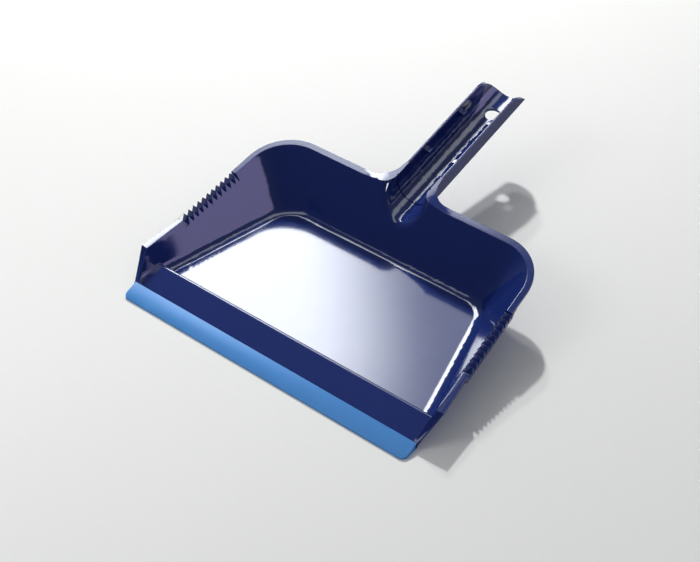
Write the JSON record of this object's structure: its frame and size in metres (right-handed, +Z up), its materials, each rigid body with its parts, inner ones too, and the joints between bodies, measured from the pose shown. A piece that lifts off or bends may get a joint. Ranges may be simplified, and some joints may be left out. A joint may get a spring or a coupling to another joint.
{
  "type": "dust pan",
  "caption": "Dust pan with flared walls, comb teeth along the side rims, a soft front lip and an open channel handle with a hang hole.",
  "frame": {"origin": "on the resting surface, under the middle of the pan floor", "axes": "+Z up, +Y from the soft lip towards the end of the handle, X along the lip"},
  "size_m": [0.2474, 0.2918, 0.0639],
  "materials": {
    "body": "gloss",
    "lip": "satin"
  },
  "bodies": {
    "root": {"dustpan_body": "body", "soft_lip": "lip"}
  },
  "joints": []
}
